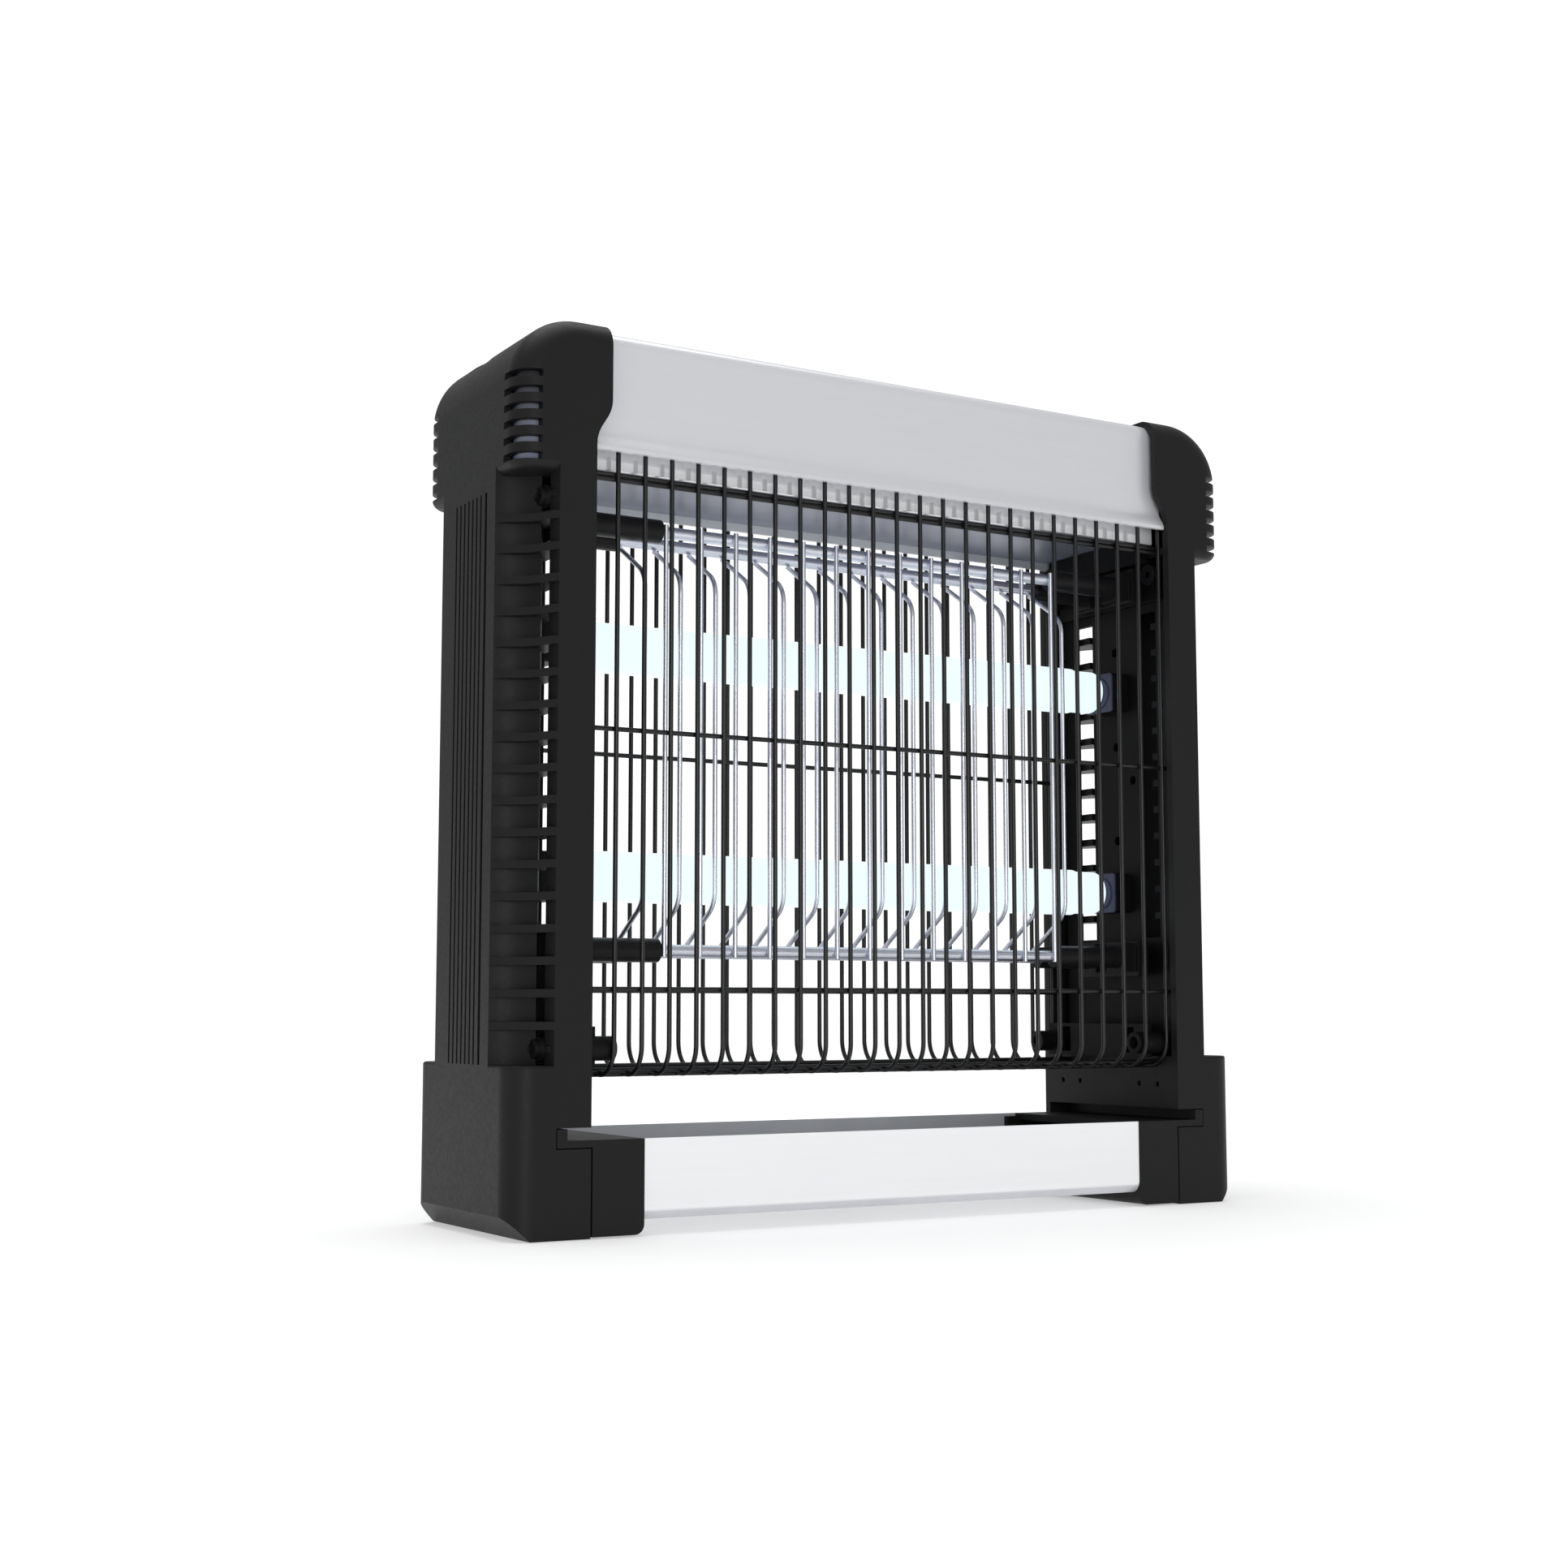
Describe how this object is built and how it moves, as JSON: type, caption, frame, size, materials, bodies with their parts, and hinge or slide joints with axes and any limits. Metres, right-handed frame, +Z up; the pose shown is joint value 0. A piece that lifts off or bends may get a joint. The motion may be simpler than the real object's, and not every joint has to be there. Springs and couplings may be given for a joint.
{
  "type": "electric insect killer",
  "caption": "Free-standing or hanging ultraviolet insect killer with wire guards, a live grid, twist-in tubes and a pull-out catch tray.",
  "frame": {"origin": "middle of the footprint, on the surface the feet stand on", "axes": "+Z up, -Y out of the front face where the tray slides out, +X to the right as seen from the front"},
  "size_m": [0.27, 0.073, 0.27],
  "materials": {
    "housing_left": "black moulded ABS, fine satin grain",
    "inner_panel_left": "black moulded, matt",
    "cross_bracket_left": "black moulded, matt",
    "upper_bracket_left": "black moulded, matt",
    "rail_holder_lower_left": "black insulating moulding",
    "rail_holder_upper_left": "black insulating moulding",
    "rail_sleeves_left": "black insulating sleeve",
    "tray_end_left": "black moulded ABS, fine satin grain",
    "hanging_pin_left": "plated steel",
    "lower_holder_left": "white lampholder moulding",
    "upper_holder_left": "white lampholder moulding",
    "housing_right": "black moulded ABS, fine satin grain",
    "inner_panel_right": "black moulded, matt",
    "cross_bracket_right": "black moulded, matt",
    "upper_bracket_right": "black moulded, matt",
    "rail_holder_lower_right": "black insulating moulding",
    "rail_holder_upper_right": "black insulating moulding",
    "rail_sleeves_right": "black insulating sleeve",
    "tray_end_right": "black moulded ABS, fine satin grain",
    "hanging_pin_right": "plated steel",
    "lower_holder_right": "white lampholder moulding",
    "upper_holder_right": "white lampholder moulding",
    "header_shell": "silver painted sheet, satin",
    "ceiling_plate": "light grey painted sheet",
    "front_guard": "black coated wire",
    "back_guard": "black coated wire",
    "straight_live_grid": "bright plated wire",
    "bent_live_grid": "bright plated wire",
    "lower_tube_glass": "white coated glass, lit",
    "lower_tube_caps": "bright end cap",
    "lower_tube_pins": "plated contact pin",
    "lower_holder_rotors": "white moulded rotor",
    "upper_tube_glass": "white coated glass, lit",
    "upper_tube_caps": "bright end cap",
    "upper_tube_pins": "plated contact pin",
    "upper_holder_rotors": "white moulded rotor",
    "tray_trough": "silver painted sheet, satin",
    "ballast_board": "green circuit board",
    "ballast_parts": "capacitors, coil and transistors",
    "transformer_core": "laminated steel core",
    "transformer_coil": "enamelled copper winding",
    "terminal_block": "white terminal block",
    "board_standoffs": "white spacers",
    "lower_side_screws": "plated screw",
    "upper_side_screws": "plated screw",
    "cord_inlet_bush": "black rubber grommet"
  },
  "bodies": {
    "zapper_frame": {"housing_left": "housing_left", "inner_panel_left": "inner_panel_left", "cross_bracket_left": "cross_bracket_left", "upper_bracket_left": "upper_bracket_left", "rail_holder_lower_left": "rail_holder_lower_left", "rail_holder_upper_left": "rail_holder_upper_left", "rail_sleeves_left": "rail_sleeves_left", "hanging_pin_left": "hanging_pin_left", "lower_holder_left": "lower_holder_left", "upper_holder_left": "upper_holder_left", "housing_right": "housing_right", "inner_panel_right": "inner_panel_right", "cross_bracket_right": "cross_bracket_right", "upper_bracket_right": "upper_bracket_right", "rail_holder_lower_right": "rail_holder_lower_right", "rail_holder_upper_right": "rail_holder_upper_right", "rail_sleeves_right": "rail_sleeves_right", "hanging_pin_right": "hanging_pin_right", "lower_holder_right": "lower_holder_right", "upper_holder_right": "upper_holder_right", "header_shell": "header_shell", "ceiling_plate": "ceiling_plate", "front_guard": "front_guard", "back_guard": "back_guard", "straight_live_grid": "straight_live_grid", "bent_live_grid": "bent_live_grid", "ballast_board": "ballast_board", "ballast_parts": "ballast_parts", "transformer_core": "transformer_core", "transformer_coil": "transformer_coil", "terminal_block": "terminal_block", "board_standoffs": "board_standoffs", "lower_side_screws": "lower_side_screws", "upper_side_screws": "upper_side_screws", "cord_inlet_bush": "cord_inlet_bush"},
    "catch_tray": {"tray_trough": "tray_trough", "tray_end_left": "tray_end_left", "tray_end_right": "tray_end_right"},
    "lower_lamp": {"lower_tube_glass": "lower_tube_glass", "lower_tube_caps": "lower_tube_caps", "lower_tube_pins": "lower_tube_pins", "lower_holder_rotors": "lower_holder_rotors"},
    "upper_lamp": {"upper_tube_glass": "upper_tube_glass", "upper_tube_caps": "upper_tube_caps", "upper_tube_pins": "upper_tube_pins", "upper_holder_rotors": "upper_holder_rotors"}
  },
  "joints": [
    {"name": "tray_slide", "type": "slide", "parent": "zapper_frame", "child": "catch_tray", "axis": [0, -1, 0], "range_m": [0, 0.07]},
    {"name": "lower_lamp_twist", "type": "hinge", "parent": "zapper_frame", "child": "lower_lamp", "pos_m": [0, 0, 0.106], "axis": [1, 0, 0], "range_deg": [0, 90]},
    {"name": "upper_lamp_twist", "type": "hinge", "parent": "zapper_frame", "child": "upper_lamp", "pos_m": [0, 0, 0.1775], "axis": [1, 0, 0], "range_deg": [0, 90]}
  ]
}
